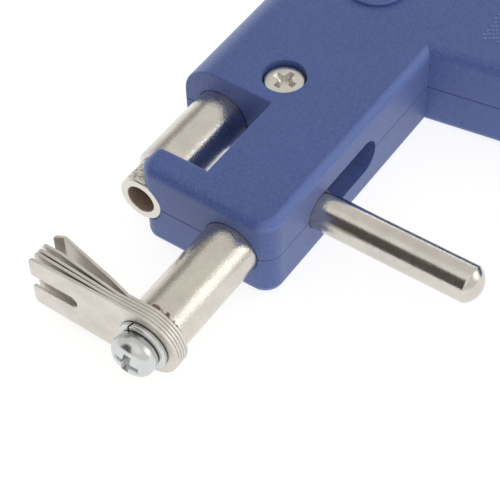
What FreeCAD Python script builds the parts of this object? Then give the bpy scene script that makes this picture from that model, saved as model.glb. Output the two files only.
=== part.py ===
"""Hand-operated ear piercing gun, as a parametric FreeCAD document in millimetres.

Gun frame used by the sketches: x runs rearwards from the body's front face, y runs up from the
slide rod's axis to the plunger, and z runs from the parting plane towards the left side. Every
piece is drawn in that frame and its Placement moves it to the part's frame, in which the gun lies
on its right side with the origin under the middle of its bounding box.
"""
import FreeCAD, Part
import math
import os
import re
import Sketcher

# alias, value, what it measures
DIMENSIONS = [
    ("frame_x", 0, "x of the part's origin in the gun frame, set once everything is built"),
    ("frame_y", 0, "y of the part's origin in the gun frame, set once everything is built"),
    ("half_thick", 7.7, "parting plane to either broad face"),
    ("wall", 2.4, "wall of the hollow handle"),
    ("edge_round", 1.6, "rounding round both broad faces"),
    ("notch_edge", 0.3, "rounding of the notch's edges on both broad faces"),
    ("seam", 0.1, "chamfer of each half along the parting line"),
    ("rod_radius", 4.5, "slide rod and plunger sleeve"),
    ("run_clear", 0.08, "radial clearance of sliding rods"),
    ("seat_clear", 0.05, "clearance of fixed pieces in their seats"),
    ("end_room", 0.3, "room past a rod's end in its hole"),
    ("end_break", 0.5, "chamfers on spring seats and thread ends"),
    ("fine_break", 0.3, "small chamfers on turned ends"),
    ("front_break", 0.6, "front ends of the slide rod and the sleeve"),
    ("plunger_y", 16.1, "plunger axis above the slide rod axis"),
    ("belly", 6.8, "slide rod axis down to the body's underside"),
    ("barrel_top", 23.0, "slide rod axis up to the barrel's top"),
    ("barrel_round", 5.9, "barrel's long top edges"),
    ("leg_thick", 4.9, "front leg under the stud holder"),
    ("notch_end", 20.6, "rear wall of the notch"),
    ("notch_floor", 6.95, "floor of the notch"),
    ("body_rear", 96, "rear face of the body"),
    ("handle_x", 42.7, "corner between the underside and the handle"),
    ("rake", 0.1602, "rearward run of the handle for each millimetre of drop"),
    ("handle_drop", 73.5, "handle's front bottom corner below the slide rod axis"),
    ("handle_run", 36.0, "handle's bottom edge, along x"),
    ("toe_rise", 5.8, "rise of the handle's bottom edge over its run"),
    ("web_x", 81.6, "handle's back edge where the tail begins"),
    ("web_drop", 16.0, "depth of that point"),
    ("tail_drop", 6.0, "rear face's lower corner"),
    ("nose_round", 3.0, "front lower corner"),
    ("leg_round", 2.4, "top of the front leg"),
    ("cradle_round", 0.8, "leg's corner beside the notch"),
    ("tail_round", 4.0, "tail's lower corner"),
    ("web_round", 12.0, "hollow between handle and tail"),
    ("toe_round", 7.0, "handle's front bottom corner"),
    ("heel_round", 9.0, "handle's rear bottom corner"),
    ("disc_x", 50.9, "raised disc on the left broad face"),
    ("disc_y", 7.8, "raised disc on the left broad face"),
    ("disc_radius", 5.25, "raised disc"),
    ("disc_rise", 0.6, "raised disc"),
    ("disc_round", 0.25, "raised disc's rim"),
    ("trigger_x", 12.9, "trigger pin axis at rest"),
    ("trigger_travel", 11.8, "slide rod's stroke"),
    ("trigger_radius", 2.9, "trigger pin"),
    ("trigger_tip", 31.7, "end of the pin's straight part below the slide rod axis"),
    ("trigger_dome", 1.7, "domed end of the pin"),
    ("trigger_round", 0.6, "rim of the dome"),
    ("trigger_seat", 3.0, "spot face in the slide rod, below its axis"),
    ("trigger_stud", 2.0, "threaded end of the pin, radius"),
    ("cock_travel", 13.0, "plunger's stroke"),
    ("tube_radius", 3.65, "stud holder, outside"),
    ("tube_bore", 2.3, "stud holder, inside"),
    ("tube_front", 0.1, "stud holder's mouth"),
    ("tube_rear", 18.0, "stud holder's end inside the sleeve"),
    ("tube_bevel", 0.15, "edges of the stud holder's mouth"),
    ("sleeve_front", 5.3, "plunger sleeve's front end"),
    ("sleeve_rear", 53.0, "plunger sleeve's rear end"),
    ("groove_x", 23.0, "sear groove in the sleeve, front wall"),
    ("groove_wide", 3.0, "sear groove"),
    ("groove_radius", 3.3, "floor of the sear groove"),
    ("draw_radius", 2.0, "draw rod"),
    ("draw_front", 41.0, "draw rod's end inside the sleeve"),
    ("draw_rear", 117.5, "draw rod's end inside the knob"),
    ("bush_front", 84.0, "rear guide bush"),
    ("bush_step", 92.0, "where the bush and its seat narrow"),
    ("bush_neck", 3.4, "radius of the bush's rear part"),
    ("bush_rear", 97.8, "rear guide bush"),
    ("washer_front", 98.1, "buffer washer"),
    ("washer_radius", 5.5, "buffer washer"),
    ("washer_round", 0.5, "buffer washer's rims"),
    ("knob_front", 100.3, "cocking knob's front face"),
    ("knob_shoulder", 105.5, "start of the knob's wide part"),
    ("knob_rear", 120.5, "cocking knob's rear face"),
    ("knob_radius", 6.5, "cocking knob"),
    ("knob_neck", 3.6, "cocking knob's neck"),
    ("knob_break", 1.2, "cocking knob's rear rim"),
    ("shoulder_break", 0.8, "front rim of its wide part"),
    ("pin_short", 0.1, "knob pin's ends below the neck's surface"),
    ("knob_hole", 0.8, "hole for the knob's pin, radius"),
    ("flute_radius", 0.8, "flutes round the knob"),
    ("flute_out", 0.35, "their axes outside the knob's surface"),
    ("flute_margin", 2.2, "plain band at each end of the flutes"),
    ("rod_front", 17.7, "slide rod's front end, ahead of the body"),
    ("rod_rear", 57.0, "slide rod's rear shoulder"),
    ("spigot_radius", 2.8, "spring spigots"),
    ("spigot_long", 4.0, "spring spigots"),
    ("seat_front", 81.0, "return spring seat"),
    ("seat_thick", 2.0, "return spring seat"),
    ("ramp_start", 40.0, "sear ramp on the slide rod"),
    ("ramp_end", 54.0, "sear ramp on the slide rod"),
    ("ramp_depth", 2.0, "sear ramp on the slide rod"),
    ("coil_radius", 3.45, "mean radius of both compression springs"),
    ("coil_wire", 0.85, "their wire, diameter"),
    ("coil_gap", 0.15, "room at each end of a spring"),
    ("sear_x", 45.0, "sear pivot"),
    ("sear_y", 8.06, "sear pivot"),
    ("sear_half", 2.0, "half of the sear lever's thickness"),
    ("sear_clear", 0.4, "room beside the sear lever"),
    ("sear_room_front", 9.6, "room ahead of the sear pivot"),
    ("sear_room_rear", 13.5, "room behind the sear pivot"),
    ("sear_room_low", 2.5, "floor of the sear's room"),
    ("sear_room_high", 12.8, "roof of the sear's room"),
    ("well_radius", 3.1, "well for the torsion spring"),
    ("well_deep", 5.2, "well for the torsion spring, from the parting plane"),
    ("sear_pin_radius", 1.2, "sear pin"),
    ("sear_pin_half", 5.9, "half of the sear pin's length"),
    ("sear_coil", 1.95, "mean radius of the sear's torsion spring"),
    ("sear_coil_long", 1.8, "length of its coil"),
    ("sear_wire", 0.44, "its wire, diameter"),
    ("sear_coil_off", 0.7, "lever's side to the middle of the coil's first turn"),
    ("leaf_thick", 0.5, "each leaf of the clutch stack"),
    ("leaf_heel", 5.5, "rounded lower end of a leaf"),
    ("leaf_half", 4.7, "half width of a leaf at its tip"),
    ("leaf_tip", 19.8, "front leaf's tip above the slide rod axis"),
    ("tip_round", 0.8, "outer corners of a leaf's tip"),
    ("slit_round", 0.4, "corners of a leaf's tip at the fork slot"),
    ("lip_y", 17.8, "bend near the spring leaf's tip"),
    ("lip_round", 0.9, "outside of that bend"),
    ("fork_half", 1.1, "half width of the fork slot"),
    ("fork_root", 12.8, "centre of the fork slot's round end"),
    ("screw_radius", 1.98, "M4 clutch screw"),
    ("screw_head", 3.45, "its pan head, radius"),
    ("screw_head_high", 3.4, "its pan head, height"),
    ("screw_deep", 9.0, "its thread inside the slide rod"),
    ("drill_point", 1.1, "end of the drilled hole past the thread"),
    ("cross_long", 2.2, "half length of its recess's arms"),
    ("cross_half", 0.45, "half width of its recess's arms"),
    ("cross_deep", 1.7, "depth of its recess"),
    ("lock_thick", 0.9, "split lock washer"),
    ("lock_radius", 4.0, "split lock washer, outside"),
    ("split_y", 1.2, "its split, lower edge at the bore"),
    ("split_wide", 0.8, "width of the split"),
    ("split_lean", 0.6, "how far the split leans over the washer"),
    ("case_head", 3.05, "case screw head, radius"),
    ("case_recess", 3.45, "recess round the case screw head"),
    ("boss_wall", 1.2, "wall of the screw bosses in the handle"),
    ("rib_thick", 1.6, "stiffening ribs in the handle"),
    ("rib_long", 34.6, "their run along x"),
    ("rib_rise", 4.2, "their rise over that run"),
    ("rib_bite", 0.3, "overlap of ribs and bosses with the wall"),
    ("case_shank", 1.45, "case screw thread, radius"),
    ("case_sink", 0.7, "case screw head below the broad face"),
    ("case_head_high", 2.1, "case screw head"),
    ("case_screw_low", 5.6, "case screw's tip below the parting plane"),
    ("case_cross_long", 3.4, "length of a case screw's recess"),
    ("case_cross_wide", 0.8, "width of a case screw's recess"),
    ("case_cross_deep", 1.3, "depth of a case screw's recess"),
]
CASE_SCREWS = [(26.2, 8.4), (76.0, 8.05), (62.0, -34.0), (71.5, -61.5)]
PLANE_NORMAL = {"XY_Plane": 1, "XZ_Plane": -1, "YZ_Plane": 1}
RIB_DEPTHS = (24.0, 48.0)
HOLE_FIT = 0.03
CUT_WIDE = 20.0
CUT_REACH = "30"

doc = FreeCAD.newDocument("ear_piercing_gun")
sheet = doc.addObject("Spreadsheet::Sheet", "Sheet")
for row, (alias, value, note) in enumerate(DIMENSIONS, start=1):
    sheet.set(f"A{row}", alias)
    sheet.set(f"B{row}", str(value))
    sheet.set(f"C{row}", note)
    sheet.setAlias(f"B{row}", alias)
doc.recompute()
ALIASES = {alias for alias, value, note in DIMENSIONS}
pieces = []


def formula(text):
    """Write sheet aliases in a formula the way FreeCAD wants them."""
    return re.sub(r"[a-z][a-z_]+", lambda word: prefixed(word.group()), str(text))


def prefixed(word):
    return f"Sheet.{word}" if word in ALIASES else word


def number(text):
    return float(sheet.evalExpression(formula(text)))


# --- helpers for bodies, sketches and features -------------------------------------------------

def new_body(label, axis_y="0", mid_z="half_thick"):
    """A body whose own x axis is the gun-frame line y = axis_y in the parting plane."""
    body = doc.addObject("PartDesign::Body", label)
    body.Label = label
    place(body, axis_y, mid_z)
    pieces.append(body)
    return body


def place(item, axis_y="0", mid_z="half_thick", x="0"):
    item.setExpression("Placement.Base.x", formula(f"({x}) - frame_x"))
    item.setExpression("Placement.Base.y", formula(f"({axis_y}) - frame_y"))
    item.setExpression("Placement.Base.z", formula(mid_z))


def origin_item(body, role):
    return [item for item in body.Origin.OriginFeatures if item.Role == role][0]


def new_sketch(body, name, plane="XY_Plane", level="0"):
    """An empty sketch on one of the body's planes, moved along that plane's axis to level."""
    sketch = body.newObject("Sketcher::SketchObject", name)
    sketch.AttachmentSupport = (origin_item(body, plane), [""])
    sketch.MapMode = "FlatFace"
    offset = f"({level}) * {PLANE_NORMAL[plane]}"
    sketch.setExpression("AttachmentOffset.Base.z", formula(offset))
    return sketch


def fix_point(sketch, geometry, end, corner):
    """Hold one point of the sketch at a pair of formulas."""
    for kind, text in zip(("DistanceX", "DistanceY"), corner):
        rule = Sketcher.Constraint(kind, -1, 1, geometry, end, number(text))
        index = sketch.addConstraint(rule)
        sketch.setExpression(f"Constraints[{index}]", formula(text))


def add_polygon(sketch, corners):
    points = [FreeCAD.Vector(number(u), number(v), 0) for u, v in corners]
    first = sketch.GeometryCount
    last = first + len(points) - 1
    for start, end in zip(points, points[1:] + points[:1]):
        sketch.addGeometry(Part.LineSegment(start, end), False)
    for line in range(first, last + 1):
        following = first if line == last else line + 1
        sketch.addConstraint(Sketcher.Constraint("Coincident", line, 2, following, 1))
    for line, corner in enumerate(corners, start=first):
        fix_point(sketch, line, 1, corner)


def add_circle(sketch, centre, radius):
    middle = FreeCAD.Vector(number(centre[0]), number(centre[1]), 0)
    up = FreeCAD.Vector(0, 0, 1)
    circle = sketch.addGeometry(Part.Circle(middle, up, number(radius)), False)
    fix_point(sketch, circle, 3, centre)
    index = sketch.addConstraint(Sketcher.Constraint("Radius", circle, number(radius)))
    sketch.setExpression(f"Constraints[{index}]", formula(radius))


def polygon(body, name, corners, plane="XY_Plane", level="0"):
    sketch = new_sketch(body, name, plane, level)
    add_polygon(sketch, corners)
    return sketch


def rectangle(body, name, low, high, plane="XY_Plane", level="0"):
    corners = [(low[0], low[1]), (high[0], low[1]), (high[0], high[1]), (low[0], high[1])]
    return polygon(body, name, corners, plane, level)


def circles(body, name, rings, plane="XY_Plane", level="0"):
    """A sketch of circles, each (centre, radius)."""
    sketch = new_sketch(body, name, plane, level)
    for centre, radius in rings:
        add_circle(sketch, centre, radius)
    return sketch


def slot(body, name, start, end, half_width, plane, level="0"):
    """A sketch of a round-ended slot along the sketch's first axis."""
    sketch = new_sketch(body, name, plane, level)
    radius = number(half_width)
    left = FreeCAD.Vector(number(start), 0, 0)
    right = FreeCAD.Vector(number(end), 0, 0)
    up = FreeCAD.Vector(0, 0, 1)
    rise = FreeCAD.Vector(0, radius, 0)
    quarter = math.pi / 2
    right_circle = Part.Circle(right, up, radius)
    left_circle = Part.Circle(left, up, radius)
    sketch.addGeometry(Part.LineSegment(left - rise, right - rise), False)
    sketch.addGeometry(Part.ArcOfCircle(right_circle, -quarter, quarter), False)
    sketch.addGeometry(Part.LineSegment(right + rise, left + rise), False)
    sketch.addGeometry(Part.ArcOfCircle(left_circle, quarter, 3 * quarter), False)
    for line, arc_after in ((0, 1), (2, 3)):
        arc_before = (arc_after + 2) % 4
        sketch.addConstraint(Sketcher.Constraint("Tangent", line, 2, arc_after, 1))
        sketch.addConstraint(Sketcher.Constraint("Tangent", arc_before, 2, line, 1))
    fix_point(sketch, 1, 3, (end, "0"))
    index = sketch.addConstraint(Sketcher.Constraint("DistanceX", -1, 1, 3, 3, left.x))
    sketch.setExpression(f"Constraints[{index}]", formula(start))
    index = sketch.addConstraint(Sketcher.Constraint("Radius", 1, radius))
    sketch.setExpression(f"Constraints[{index}]", formula(half_width))
    return sketch


def grow(body, kind, sketch, length=None, forward=True, both=False):
    """Pad or pocket a sketch along its plane's axis, and check that the volume changed."""
    doc.recompute()
    before = body.Shape.Volume if body.Shape.Solids else 0.0
    feature = body.newObject(f"PartDesign::{kind}", f"{sketch.Label}_{kind}")
    feature.Profile = sketch
    plane = sketch.AttachmentSupport[0][0].Role
    along_normal = forward == (PLANE_NORMAL[plane] > 0)
    feature.Reversed = along_normal if kind == "Pocket" else not along_normal
    feature.Midplane = both
    if length is None:
        feature.Type = "ThroughAll"
    else:
        feature.setExpression("Length", formula(length))
    sketch.Visibility = False
    doc.recompute()
    change = body.Shape.Volume - before
    if (change < 0.001) if kind == "Pad" else (change > -0.001):
        raise RuntimeError(f"{body.Label}: {feature.Label} changes the volume by {change:.4f}")
    return feature


def turn(body, profile, name="Profile"):
    """Revolve a half profile, pairs of x and radius, about the body's x axis."""
    sketch = polygon(body, name, profile)
    feature = body.newObject("PartDesign::Revolution", f"{name}_Turned")
    feature.Profile = sketch
    feature.ReferenceAxis = (sketch, ["H_Axis"])
    feature.Angle = 360
    sketch.Visibility = False
    doc.recompute()
    return feature


def edges_where(body, test):
    """Names of the body's edges whose two ends and middle all pass the test."""
    names = []
    for index, edge in enumerate(body.Tip.Shape.Edges, start=1):
        middle = edge.valueAt((edge.FirstParameter + edge.LastParameter) / 2)
        points = [vertex.Point for vertex in edge.Vertexes] + [middle]
        if all(test(point) for point in points):
            names.append(f"Edge{index}")
    return names


def dress(body, kind, size_name, size, test):
    """Fillet or chamfer the edges of the tip that pass the test."""
    names = edges_where(body, test)
    if not names:
        raise RuntimeError(f"{body.Label}: no edge for {kind} {size}")
    base = body.Tip
    feature = body.newObject(f"PartDesign::{kind}", kind)
    feature.Base = (base, names)
    feature.setExpression(size_name, formula(size))
    doc.recompute()
    return feature


def fillet(body, size, test):
    return dress(body, "Fillet", "Radius", size, test)


def chamfer(body, size, test):
    return dress(body, "Chamfer", "Size", size, test)


def near(u, v, reach=0.05):
    """A test for points on the line x = u, y = v."""
    x, y = number(u), number(v)
    return lambda point: abs(point.x - x) < reach and abs(point.y - y) < reach


# --- body halves -------------------------------------------------------------------------------

TOE_X = "handle_x + (handle_drop - belly) * rake"
HEEL_X = f"{TOE_X} + handle_run"
HEEL_Y = "toe_rise - handle_drop"
BODY_OUTLINE = [
    ("0", "-belly"),
    ("handle_x", "-belly"),
    (TOE_X, "-handle_drop"),
    (HEEL_X, HEEL_Y),
    ("web_x", "-web_drop"),
    ("body_rear", "-tail_drop"),
    ("body_rear", "barrel_top"),
    ("notch_end", "barrel_top"),
    ("notch_end", "notch_floor"),
    ("leg_thick", "notch_floor"),
    ("leg_thick", "plunger_y"),
    ("0", "plunger_y"),
]
BODY_ROUNDS = [
    (0, "nose_round"), (2, "toe_round"), (3, "heel_round"), (4, "web_round"),
    (5, "tail_round"), (11, "leg_round"),
]
CAVITY_TOP = "-belly - wall * 1.8"
CAVITY = [
    ("handle_x + wall * 1.3", CAVITY_TOP),
    (f"{TOE_X} + wall * 0.83", "-handle_drop + wall * 1.15"),
    (f"{HEEL_X} - wall * 1.15 - heel_round * 0.44", f"{HEEL_Y} + wall * 0.83 - heel_round * 0.07"),
    (f"{HEEL_X} - wall * 1.15 - heel_round * 0.07", f"{HEEL_Y} + wall * 0.83 + heel_round * 0.44"),
    ("web_x - wall * 0.9", "-web_drop - wall * 0.8"),
    ("web_x - wall * 3.2", CAVITY_TOP),
]
BORE = "rod_radius + run_clear"


def half_shell(label, side):
    """One moulded half of the body; side is 1 for the left half and -1 for the right one."""
    left = side > 0
    body = new_body(label)
    outline = polygon(body, "Outline", BODY_OUTLINE)
    grow(body, "Pad", outline, "half_thick", forward=left)
    round_body(body, side * number("half_thick"))

    bore_along(body, "SlideBore", "-1", "seat_front + seat_thick + 0.1", "0", BORE)
    bore_along(body, "PlungerBore", "notch_end - 1", "bush_step", "plunger_y", BORE)
    bore_along(body, "BushSeat", "bush_step - 1", "body_rear + 1", "plunger_y", "bush_neck + seat_clear")
    bore_along(body, "Cradle", "-1", "leg_thick + 1", "plunger_y", "tube_radius + run_clear")

    slot_half = "trigger_radius + run_clear"
    pin_slot = slot(body, "PinSlot", "trigger_x", "trigger_x + trigger_travel", slot_half, "XZ_Plane")
    grow(body, "Pocket", pin_slot, "belly + 2", forward=False)

    sear_room(body, left)
    cavity = polygon(body, "Cavity", CAVITY)
    grow(body, "Pocket", cavity, "half_thick - wall", forward=left)
    fillet(body, "toe_round - wall", near(*CAVITY[1]))
    fillet(body, "wall", lambda point: any(near(*CAVITY[corner])(point) for corner in (0, 2, 3, 4, 5)))
    handle_ribs(body, left)
    screw_holes(body, left)
    if left:
        disc = circles(body, "Disc", [(("disc_x", "disc_y"), "disc_radius")], level="half_thick - 0.5")
        grow(body, "Pad", disc, "disc_rise + 0.5")
        rim = number("half_thick + disc_rise")
        fillet(body, "disc_round", lambda point: abs(point.z - rim) < 0.01)
    return body


def round_body(body, face_level):
    """Round the barrel's long edge, the outline's corners, both kinds of rim and the parting edge."""
    top = number("barrel_top")
    crown = top - number("barrel_round")
    fillet(body, "barrel_round", lambda point: abs(point.y - top) < 0.01 and on_face(point, face_level))
    for corner, size in BODY_ROUNDS:
        fillet(body, size, near(*BODY_OUTLINE[corner]))

    def in_notch(point):
        inside = number("leg_thick") - 0.01 < point.x < number("notch_end") + 0.01
        return inside and point.y > number("notch_floor") - 0.01

    def on_rim(point):
        on_crown = abs(point.y - crown) < 0.01 and point.x < number("body_rear") - 0.01
        return on_face(point, face_level) and not on_crown

    def on_outer_rim(point):
        corner = near("leg_thick", "plunger_y")
        return on_rim(point) and (corner(point) or not in_notch(point))

    fillet(body, "edge_round", on_outer_rim)
    fillet(body, "cradle_round", near("leg_thick", "plunger_y"))
    fillet(body, "notch_edge", lambda point: on_face(point, face_level) and in_notch(point))
    chamfer(body, "seam", lambda point: abs(point.z) < 0.01)


def on_face(point, face_level):
    return abs(point.z - face_level) < 0.01


def bore_along(body, name, start, end, axis_y, radius):
    """A round bore along x; only the half inside this shell cuts anything."""
    sketch = circles(body, name, [((axis_y, "0"), radius)], "YZ_Plane", start)
    grow(body, "Pocket", sketch, f"({end}) - ({start})")


def sear_room(body, left):
    """Room for the sear lever between the two bores, with the pin's hole and the spring's well."""
    low = ("sear_x - sear_room_front", "sear_room_low")
    high = ("sear_x + sear_room_rear", "sear_room_high")
    room = rectangle(body, "SearRoom", low, high)
    grow(body, "Pocket", room, "sear_half + sear_clear", forward=left)
    pin_hole = circles(body, "PinHole", [(("sear_x", "sear_y"), f"sear_pin_radius + {HOLE_FIT}")])
    grow(body, "Pocket", pin_hole, "sear_pin_half + sear_clear / 2", forward=left)
    if left:
        well = circles(body, "SpringWell", [(("sear_x", "sear_y"), "well_radius")])
        grow(body, "Pocket", well, "well_deep")


def handle_ribs(body, left):
    """Two stiffening ribs across the hollow handle and the bosses of the handle's screws."""
    floor = "half_thick - wall + rib_bite"
    for index, depth in enumerate(RIB_DEPTHS):
        front = f"handle_x + ({depth} - belly) * rake + wall * 0.5"
        back = f"{front} + rib_long"
        rib = polygon(body, f"Rib{index}", [
            (front, f"-{depth}"),
            (front, f"-{depth} - rib_thick"),
            (back, f"rib_rise - {depth}"),
            (back, f"rib_rise + rib_thick - {depth}"),
        ])
        grow(body, "Pad", rib, floor, forward=left)
    rings = [((str(x), str(y)), "case_recess + boss_wall") for x, y in CASE_SCREWS if y < 0]
    grow(body, "Pad", circles(body, "Bosses", rings), floor, forward=left)


def screw_holes(body, left):
    middles = [(str(x), str(y)) for x, y in CASE_SCREWS]
    shank = f"case_shank + {HOLE_FIT}"
    holes = circles(body, "ScrewHoles", [(middle, shank) for middle in middles])
    if left:
        grow(body, "Pocket", holes)
        depth = "case_sink + case_head_high"
        recess = circles(body, "Recesses", [(middle, "case_recess") for middle in middles],
                         level=f"half_thick - ({depth})")
        grow(body, "Pocket", recess, f"{depth} + 1")
    else:
        grow(body, "Pocket", holes, "case_screw_low + 0.3", forward=False)


# --- plunger -----------------------------------------------------------------------------------

def ring_profile(start, end, inner, outer):
    return [(start, inner), (end, inner), (end, outer), (start, outer)]


def stud_holder():
    body = new_body("stud_holder", "plunger_y")
    turn(body, ring_profile("tube_front", "tube_rear", "tube_bore", "tube_radius"))
    mouth = number("tube_front")
    chamfer(body, "tube_bevel", lambda point: abs(point.x - mouth) < 0.01)


def plunger_sleeve():
    body = new_body("plunger_sleeve", "plunger_y")
    tube_hole = f"tube_radius + {HOLE_FIT}"
    rod_hole = f"draw_radius + {HOLE_FIT}"
    turn(body, [
        ("sleeve_front", tube_hole),
        ("tube_rear + end_room", tube_hole),
        ("tube_rear + end_room", "0"),
        ("draw_front - end_room", "0"),
        ("draw_front - end_room", rod_hole),
        ("sleeve_rear", rod_hole),
        ("sleeve_rear", "rod_radius - end_break"),
        ("sleeve_rear - end_break", "rod_radius"),
        ("groove_x + groove_wide", "rod_radius"),
        ("groove_x + groove_wide", "groove_radius"),
        ("groove_x", "groove_radius"),
        ("groove_x", "rod_radius"),
        ("sleeve_front + front_break", "rod_radius"),
        ("sleeve_front", "rod_radius - front_break"),
    ])


def draw_rod():
    body = new_body("draw_rod", "plunger_y")
    turn(body, [
        ("draw_front", "0"),
        ("draw_rear", "0"),
        ("draw_rear", "draw_radius - fine_break"),
        ("draw_rear - fine_break", "draw_radius"),
        ("draw_front + fine_break", "draw_radius"),
        ("draw_front", "draw_radius - fine_break"),
    ])
    cross_hole(body, "knob_hole")


def cross_hole(body, radius):
    """Hole for the knob's pin, along z."""
    middle = ("(knob_front + knob_shoulder) / 2", "0")
    hole = circles(body, "PinHole", [(middle, radius)], level="-half_thick")
    grow(body, "Pocket", hole, "half_thick * 2")


def cocking_knob():
    body = new_body("cocking_knob", "plunger_y")
    rod_hole = f"draw_radius + {HOLE_FIT}"
    turn(body, [
        ("knob_front", rod_hole),
        ("draw_rear + end_room", rod_hole),
        ("draw_rear + end_room", "0"),
        ("knob_rear", "0"),
        ("knob_rear", "knob_radius - knob_break"),
        ("knob_rear - knob_break", "knob_radius"),
        ("knob_shoulder + shoulder_break", "knob_radius"),
        ("knob_shoulder", "knob_radius - shoulder_break"),
        ("knob_shoulder", "knob_neck"),
        ("knob_front", "knob_neck"),
    ])
    flute = circles(body, "Flute", [(("knob_radius + flute_out", "0"), "flute_radius")],
                    "YZ_Plane", "knob_shoulder + flute_margin")
    cut = grow(body, "Pocket", flute, "knob_rear - knob_shoulder - 2 * flute_margin")
    pattern = body.newObject("PartDesign::PolarPattern", "Flutes")
    pattern.Originals = [cut]
    pattern.Axis = (origin_item(body, "X_Axis"), [""])
    pattern.Angle = 360
    pattern.Occurrences = 20
    body.Tip = pattern
    doc.recompute()
    cross_hole(body, f"knob_hole + {HOLE_FIT}")


def knob_pin():
    """Roll pin along z through the knob's neck and the draw rod."""
    pin = doc.addObject("Part::Cylinder", "knob_pin")
    pin.Label = "knob_pin"
    pin.setExpression("Radius", formula("knob_hole - 0.02"))
    pin.setExpression("Height", formula("(knob_neck - pin_short) * 2"))
    place(pin, "plunger_y", "half_thick - knob_neck + pin_short", "(knob_front + knob_shoulder) / 2")
    pieces.append(pin)


def rear_guide_bush():
    body = new_body("rear_guide_bush", "plunger_y")
    turn(body, [
        ("bush_front", "draw_radius + run_clear"),
        ("bush_rear", "draw_radius + run_clear"),
        ("bush_rear", "bush_neck - fine_break"),
        ("bush_rear - fine_break", "bush_neck"),
        ("bush_step - seat_clear", "bush_neck"),
        ("bush_step - seat_clear", "rod_radius"),
        ("bush_front", "rod_radius"),
    ])


def buffer_washer():
    body = new_body("buffer_washer", "plunger_y")
    turn(body, ring_profile("washer_front", "knob_front", f"draw_radius + {HOLE_FIT}", "washer_radius"))
    rim = number("washer_radius")
    fillet(body, "washer_round", lambda point: math.hypot(point.y, point.z) > rim - 0.1)


# --- trigger carriage --------------------------------------------------------------------------

def slide_rod():
    body = new_body("slide_rod")
    thread = f"screw_radius + {HOLE_FIT}"
    turn(body, [
        ("-rod_front", thread),
        ("screw_deep - rod_front + end_break", thread),
        ("screw_deep - rod_front + end_break + drill_point", "0"),
        ("rod_rear + spigot_long", "0"),
        ("rod_rear + spigot_long", "spigot_radius - end_break"),
        ("rod_rear + spigot_long - end_break", "spigot_radius"),
        ("rod_rear", "spigot_radius"),
        ("rod_rear", "rod_radius - fine_break"),
        ("rod_rear - fine_break", "rod_radius"),
        ("front_break - rod_front", "rod_radius"),
        ("-rod_front", "rod_radius - front_break"),
    ])
    seat = circles(body, "PinSeat", [(("trigger_x", "0"), f"trigger_radius + {HOLE_FIT}")],
                   "XZ_Plane", "-trigger_seat")
    grow(body, "Pocket", seat, "rod_radius", forward=False)
    tapped = circles(body, "PinThread", [(("trigger_x", "0"), f"trigger_stud + {HOLE_FIT}")],
                     "XZ_Plane", "trigger_seat + 0.2")
    grow(body, "Pocket", tapped, "trigger_seat * 2 + 1", forward=False)
    ramp = polygon(body, "SearRamp", [
        ("ramp_start", "rod_radius"),
        ("ramp_end", "rod_radius - ramp_depth"),
        ("rod_rear", "rod_radius - ramp_depth"),
        ("rod_rear", "rod_radius + 1"),
        ("ramp_start", "rod_radius + 1"),
    ])
    grow(body, "Pocket", ramp, CUT_WIDE, both=True)


def trigger_pin():
    """Turned about its own axis, then stood along -y at the slot's front end."""
    body = new_body("trigger_pin")
    place(body, "0", "half_thick", "trigger_x")
    body.Placement.Rotation = FreeCAD.Rotation(FreeCAD.Vector(0, 0, 1), -90)
    sketch = new_sketch(body, "Profile")
    corners = [
        ("-trigger_seat", "0"),
        ("-trigger_seat", "trigger_stud"),
        ("trigger_seat", "trigger_stud"),
        ("trigger_seat", "trigger_radius"),
        ("trigger_tip", "trigger_radius"),
        ("trigger_tip + trigger_dome", "0"),
    ]
    points = [FreeCAD.Vector(number(u), number(v), 0) for u, v in corners]
    for start, end in zip(points[:4], points[1:5]):
        sketch.addGeometry(Part.LineSegment(start, end), False)
    shoulder, tip = points[4], points[5]
    radius = (shoulder.y ** 2 + (tip.x - shoulder.x) ** 2) / (2 * (tip.x - shoulder.x))
    centre = FreeCAD.Vector(tip.x - radius, 0, 0)
    sweep = math.asin(shoulder.y / radius)
    dome = Part.Circle(centre, FreeCAD.Vector(0, 0, 1), radius)
    sketch.addGeometry(Part.ArcOfCircle(dome, 0, sweep), False)
    sketch.addGeometry(Part.LineSegment(tip, points[0]), False)
    for line in range(3):
        sketch.addConstraint(Sketcher.Constraint("Coincident", line, 2, line + 1, 1))
    sketch.addConstraint(Sketcher.Constraint("Coincident", 3, 2, 4, 2))
    sketch.addConstraint(Sketcher.Constraint("Coincident", 4, 1, 5, 1))
    sketch.addConstraint(Sketcher.Constraint("Coincident", 5, 2, 0, 1))
    sketch.addConstraint(Sketcher.Constraint("PointOnObject", 4, 3, -1))
    for line, corner in enumerate(corners[:4]):
        fix_point(sketch, line, 1, corner)
    fix_point(sketch, 4, 2, corners[4])
    fix_point(sketch, 5, 1, corners[5])
    feature = body.newObject("PartDesign::Revolution", "Profile_Turned")
    feature.Profile = sketch
    feature.ReferenceAxis = (sketch, ["H_Axis"])
    feature.Angle = 360
    sketch.Visibility = False
    doc.recompute()
    rim = number("trigger_tip")
    fillet(body, "trigger_round", lambda point: abs(point.x - rim) < 0.01)


LEAVES = [
    # label, place counted from the slide rod, tip height, bends as (height, slope above it)
    ("clutch_plate_1", 4, "leaf_tip", []),
    ("clutch_plate_2", 3, "leaf_tip", [("6.0", 0.054)]),
    ("clutch_plate_3", 2, "leaf_tip", [("6.0", 0.073)]),
    ("clutch_plate_4", 1, "leaf_tip", [("5.4", 0.133), ("16.5", 0.010)]),
    ("clutch_spring_leaf", 0, "leaf_tip - 0.5", [("3.9", 0.300), ("7.5", 0.245), ("lip_y", -0.470)]),
]


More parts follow.
